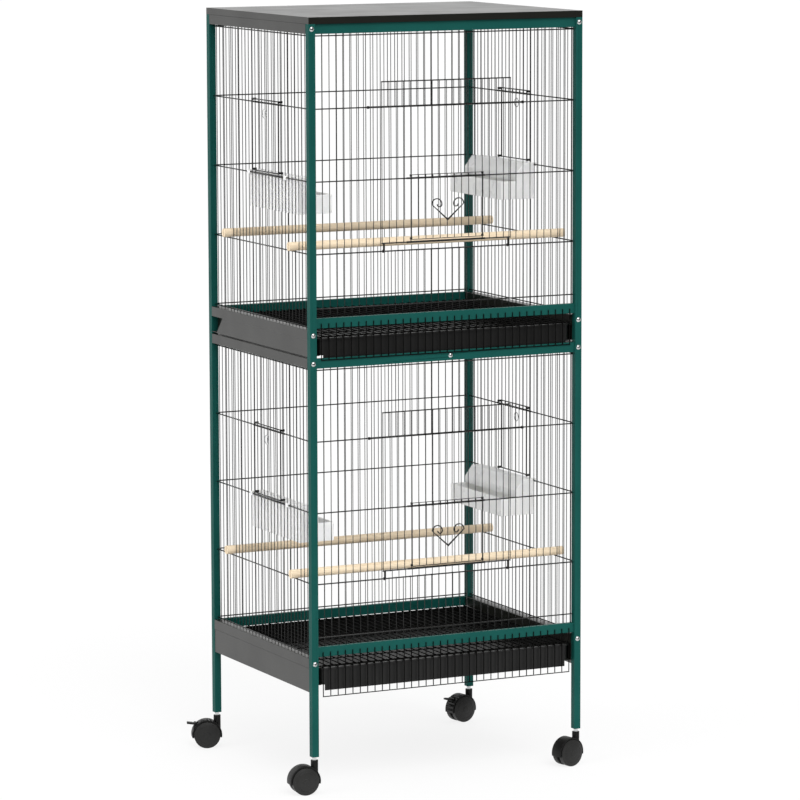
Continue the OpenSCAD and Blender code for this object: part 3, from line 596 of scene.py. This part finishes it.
# The short wires at the foot of a front door, beside its small doorway, are drawn at the doorway's head too
def shortHeadWires(straight, look):
    crossWires = sorted((wire for wire in straight if wire["along"] == 0), key=lambda wire: wire["low"].z)
    spanning = [wire for wire in crossWires if wire["low"].x < 0 < wire["high"].x]
    rise = Vector((0, 0, spanning[1]["low"].z - spanning[0]["low"].z))
    trim = Vector((look["headWireTrim"] * mm, 0, 0))  # keeps the outer ends clear of the panel's own wire
    made = []
    for wire in crossWires:
        low, high = wire["low"] + rise, wire["high"] + rise
        if low.x > 0:
            made.append(dict(wire, low=low, high=high - trim))
        elif high.x < 0:
            made.append(dict(wire, low=low + trim, high=high))
    return made


def dressWires(nodeName, look):
    mesh = nodes[nodeName].data
    body = bodyOf[nodeName]
    # The grate takes the darker copy of the wire coat, which is painted shade
    coat = grateCoat if nodeName.endswith("_grate") else coats["black_wire_coat"]
    wires = [readWire(mesh, island, look) for island in meshIslands(mesh)]
    straight = [wire for wire in wires if wire["straight"]]
    pulls = [wire for wire in wires if wire["pull"]]
    bent = [wire["island"] for wire in wires if not wire["straight"] and not wire["pull"]]
    if nodeName.endswith("_front_door"):
        straight += shortHeadWires(straight, look)
    shape = emptyShape()
    for wire in straight:
        addRoundWire(shape, wire, look)
    for index, first in enumerate(straight):
        for second in straight[index + 1:]:
            if crossing(first, second, look):
                addNugget(shape, first, second, look)
    rods = newPiece(pieceName("rods", nodeName), shape, coat, body)
    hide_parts(nodeName)
    if bent:
        shape = emptyShape()
        copyIslands(shape, mesh, bent)
        loops = newPiece(pieceName("loops", nodeName), shape, coat, body, smooth=False)
        addBevel(loops, look["loopRound"], look["loopSegments"], look["loopAngle"])
    if pulls:
        shape = emptyShape()
        for wire in pulls:
            addPull(shape, wire, look)
        newPiece(pieceName("pull", nodeName), shape, coats["zinc_steel"], body)


for nodeName in nodes:
    if nodeName.endswith(("_wires", "_door", "_grate")):
        dressWires(nodeName, wireLook)
print("wires dressed")


# Dark cross-shaped strips that follow the domes of the bolt heads: painted shade standing in for the shade inside
# their cross recesses
boltLook = {"arm": 2.5, "width": 1.0, "lift": 0.05, "headDiameter": 9.0, "headHeight": 2.4, "steps": 10}


def makeBoltRecessShades(look):
    mesh = nodes["frame_bolts"].data
    dome = (look["headDiameter"] ** 2 / 4 + look["headHeight"] ** 2) / (2 * look["headHeight"])
    shape = emptyShape()
    for island in meshIslands(mesh):
        low, high = islandBox(mesh, island)
        outward = -1 if low.y < 0 else 1
        apex = Vector(((low.x + high.x) / 2, low.y if outward < 0 else high.y, (low.z + high.z) / 2))
        for upright in (False, True):
            start = len(shape["verts"])
            for step in range(look["steps"] + 1):
                reach = look["arm"] * (2 * step / look["steps"] - 1)
                drop = look["lift"] - reach * reach / (2 * dome)
                for side in (-1, 1):
                    wide = side * look["width"] / 2
                    shift = Vector((wide, 0, reach)) if upright else Vector((reach, 0, wide))
                    shift.y = outward * drop
                    shape["verts"].append(tuple(apex + shift * mm))
            for step in range(look["steps"]):
                first = start + 2 * step
                face = (first, first + 1, first + 3, first + 2)
                shape["faces"].append(face[::-1] if upright == (outward > 0) else face)
    newPiece("boltRecesses", shape, recessShadeSteel, "cage_frame")


makeBoltRecessShades(boltLook)
print("bolt recesses made")


# Ropes of weld where the green rails meet the posts
weldLook = {
    "radius": 1.0, "ripple": 0.22, "pitch": 2.1, "sides": 8, "stepsPerRipple": 4, "leastSteps": 6,
    "endShare": 0.45, "endSlope": 5.0,
}


def ropeStations(foot, head, look):
    length = head - foot
    ripples = length / (look["pitch"] * mm)
    steps = max(look["leastSteps"], int(ripples * look["stepsPerRipple"]))
    stations = []
    for step in range(steps + 1):
        share = step / steps
        wave = math.sin(share * ripples * 2 * math.pi)
        taper = min(1.0, look["endShare"] + look["endSlope"] * min(share, 1 - share))
        stations.append((foot + length * share, (look["radius"] + look["ripple"] * wave) * mm * taper))
    return stations


def makeRailWelds(look):
    shape = emptyShape()
    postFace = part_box("front_right_post")[0].x
    for nodeName in nodes:
        if not nodeName.endswith("_rail") or slotOf[nodeName] != "green_powder_coat":
            continue
        low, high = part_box(nodeName)
        stations = ropeStations(low.z, high.z, look)
        for x in (-postFace, postFace):
            for y in (low.y, high.y):
                corner = Vector((x, y, 0))
                addRings(shape, [ringAbout(corner, 2, z, radius, look["sides"]) for z, radius in stations])
    newPiece("railWelds", shape, coats["green_powder_coat"], "cage_frame")


makeRailWelds(weldLook)
print("rail welds made")


# Casters: hub caps, rim rings and tread lines on the wheels, grip ribs on the brake levers
casterLook = {
    "sides": 48, "wheelRadius": 25.0, "faceOut": 17.5, "domeRadius": 80.1, "capRadius": 6.5, "capRise": 0.6,
    "capProfile": ((1.0, -0.3), (1.0, 0.45), (0.9, 0.75), (0.55, 1.0), (0.12, 1.05)),
    "ringRadius": 17.5, "ringThick": 0.35, "ringSides": 8,
    "treadPlaces": (6.2, 10.4), "treadDepth": 0.35, "treadSink": 0.1, "treadSides": 6,
    "tongueTilt": -8.0, "tongueTop": 1.5, "ribPlaces": (6.5, 9.0, 11.5, 14.0), "ribSize": (0.9, 8.6, 0.7),
    "ribSink": 0.2, "ribRound": 0.25, "ribSegments": 2, "ribAngle": 30,
}


# A caster's frame at one of its joints: x along its heading and y along the joint's axis
def jointFrame(jointName):
    joint = joints[jointName]
    axis = joint["axis"]
    heading = Matrix.Rotation(math.atan2(-axis[0], axis[1]), 4, "Z")
    return Matrix.Translation(Vector(joint["pos_m"])) @ heading


def wheelRing(place, radius, out, look):
    points = [Vector((radius * cosine, out, radius * sine)) for cosine, sine in circle(look["sides"])]
    return [place @ (point * mm) for point in points]


# How far out the domed face of a wheel lies at a radius
def faceOut(radius, look):
    return look["faceOut"] - radius * radius / (2 * look["domeRadius"])


# A bead round a wheel, at a radius and a distance out along the axle
def addBead(shape, place, radius, out, thick, sides, look):
    rings = []
    for cosine, sine in circle(sides, -1):
        rings.append(wheelRing(place, radius + thick * cosine, out + thick * sine, look))
    addRings(shape, rings, True)


def makeWheelTrim(corner, look):
    place = jointFrame(corner + "_wheel_roll")
    shape = emptyShape()
    capFoot = faceOut(look["capRadius"], look)
    treadRadius = look["wheelRadius"] - look["treadSink"] - look["treadDepth"]
    for side in (-1, 1):
        cap = []
        for share, rise in look["capProfile"][::-side]:  # from the side that makes its faces look outward
            out = side * (capFoot + look["capRise"] * rise)
            cap.append(wheelRing(place, look["capRadius"] * share, out, look))
        addRings(shape, cap)
        rimOut = side * faceOut(look["ringRadius"], look)
        addBead(shape, place, look["ringRadius"], rimOut, look["ringThick"], look["ringSides"], look)
        for out in look["treadPlaces"]:
            addBead(shape, place, treadRadius, side * out, look["treadDepth"], look["treadSides"], look)
    name = pieceName("wheelTrim", corner)
    newPiece(name, shape, coats["wheel_plastic"], corner + "_wheel_pair")


def makeBrakeRibs(corner, look):
    place = jointFrame(corner + "_brake_press") @ Matrix.Rotation(math.radians(look["tongueTilt"]), 4, "Y")
    shape = emptyShape()
    long, wide, tall = look["ribSize"]
    foot = look["tongueTop"] - look["ribSink"]
    for out in look["ribPlaces"]:
        low = Vector((out - long / 2, -wide / 2, foot)) * mm
        high = Vector((out + long / 2, wide / 2, look["tongueTop"] + tall)) * mm
        addBlock(shape, place, low, high)
    name = pieceName("brakeRibs", corner)
    ribs = newPiece(name, shape, casterPlastic, corner + "_brake_lever", smooth=False)
    addBevel(ribs, look["ribRound"], look["ribSegments"], look["ribAngle"])


for corner in corners:
    makeWheelTrim(corner, casterLook)
    if corner + "_brake" in nodes:
        makeBrakeRibs(corner, casterLook)
print("caster trim made")


# Camera with a long lens, in front of the cage and to its left
cameraLook = {
    "place": (-3.4316, -7.0193, 1.748), "turn": (82.177, 0.161, -26.162), "lens": 190.67, "sensor": 36.0,
    "farthest": 500.0,
}
camera = bpy.data.objects.new("camera", bpy.data.cameras.new("camera"))
camera.data.lens = cameraLook["lens"]
camera.data.sensor_width = cameraLook["sensor"]
camera.data.clip_end = cameraLook["farthest"]
camera.location = cameraLook["place"]
camera.rotation_euler = [math.radians(angle) for angle in cameraLook["turn"]]
scene.collection.objects.link(camera)
scene.camera = camera


# Pale floor, white surroundings behind, a dimmer room in front, and soft lamps
studioLook = {
    "floorHalf": 60.0, "floorFront": -2.5, "floorColour": (0.72, 0.72, 0.72), "floorWhite": 1.04,
    "floorShader": {"Roughness": 0.9, "Specular IOR Level": 0.1}, "whiteShare": 0.8,
    "worldStrength": 0.6, "whiteStrength": 1.0, "roomStrength": 0.12, "roomEdge": 0.35,
    "lamps": [
        {"name": "keyLamp", "turn": (44, 0, -8), "strength": 1.9, "spread": 40, "mirrored": True},
        {"name": "topLamp", "turn": (6, 4, 0), "strength": 0.3, "spread": 90, "mirrored": True},
        {"name": "sideLamp", "turn": (66, 0, -82), "strength": 1.1, "spread": 40, "mirrored": False},
        {"name": "fillLamp", "turn": (62, 0, 30), "strength": 0.4, "spread": 80, "mirrored": False},
    ],
}


def seenRays(tree):
    rays = addNode(tree, "ShaderNodeLightPath").outputs
    seen = mathNode(tree, "ADD", rays["Is Camera Ray"], rays["Is Transmission Ray"], True)
    return rays["Is Glossy Ray"], seen


def mixShaders(tree, factor, first, second):
    blend = addNode(tree, "ShaderNodeMixShader")
    for source, socket in zip((factor, first.outputs[0], second.outputs[0]), blend.inputs):
        join(tree, source, socket)
    return blend


def makeFloor(look):
    half, front = look["floorHalf"], look["floorFront"]
    mesh = bpy.data.meshes.new("floor")
    edge = [(-half, front, 0), (half, front, 0), (half, half, 0), (-half, half, 0)]
    mesh.from_pydata(edge, [], [(0, 1, 2, 3)])
    floor = bpy.data.objects.new("floor", mesh)
    scene.collection.objects.link(floor)
    material, tree, shader = startMaterial("paleFloor", look["floorShader"])
    shader.inputs["Base Color"].default_value = (*look["floorColour"], 1.0)
    white = addNode(tree, "ShaderNodeEmission", Strength=look["floorWhite"])
    glossy, seen = seenRays(tree)
    share = mathNode(tree, "MULTIPLY", mathNode(tree, "ADD", seen, glossy, True), look["whiteShare"])
    blend = mixShaders(tree, share, shader, white)
    join(tree, blend.outputs[0], tree.nodes["Material Output"].inputs["Surface"])
    paint(floor, material)


def makeWorld(look):
    world = bpy.data.worlds.new("studio")
    world.use_nodes = True
    scene.world = world
    tree = world.node_tree
    soft = tree.nodes["Background"]
    soft.inputs["Strength"].default_value = look["worldStrength"]
    mirrored = addNode(tree, "ShaderNodeBackground")
    white = addNode(tree, "ShaderNodeBackground", Strength=look["whiteStrength"])
    for background in (soft, mirrored, white):
        background.inputs["Color"].default_value = (1, 1, 1, 1)
    outward = addNode(tree, "ShaderNodeSeparateXYZ")
    join(tree, addNode(tree, "ShaderNodeTexCoord").outputs["Generated"], outward.inputs[0])
    edgeSpan = (-look["roomEdge"], look["roomEdge"])
    room = rampNode(tree, outward.outputs["Y"], edgeSpan, (look["roomStrength"], look["whiteStrength"]))
    join(tree, room, mirrored.inputs["Strength"])
    glossy, seen = seenRays(tree)
    blend = mixShaders(tree, seen, mixShaders(tree, glossy, soft, mirrored), white)
    join(tree, blend.outputs[0], tree.nodes["World Output"].inputs["Surface"])


def makeLamp(look):
    lamp = bpy.data.lights.new(look["name"], "SUN")
    lamp.energy = look["strength"]
    lamp.angle = math.radians(look["spread"])
    thing = bpy.data.objects.new(look["name"], lamp)
    thing.rotation_euler = [math.radians(angle) for angle in look["turn"]]
    thing.visible_glossy = look["mirrored"]
    scene.collection.objects.link(thing)


makeFloor(studioLook)
makeWorld(studioLook)
for lampLook in studioLook["lamps"]:
    makeLamp(lampLook)
scene.view_settings.view_transform = "Standard"
print("studio made")
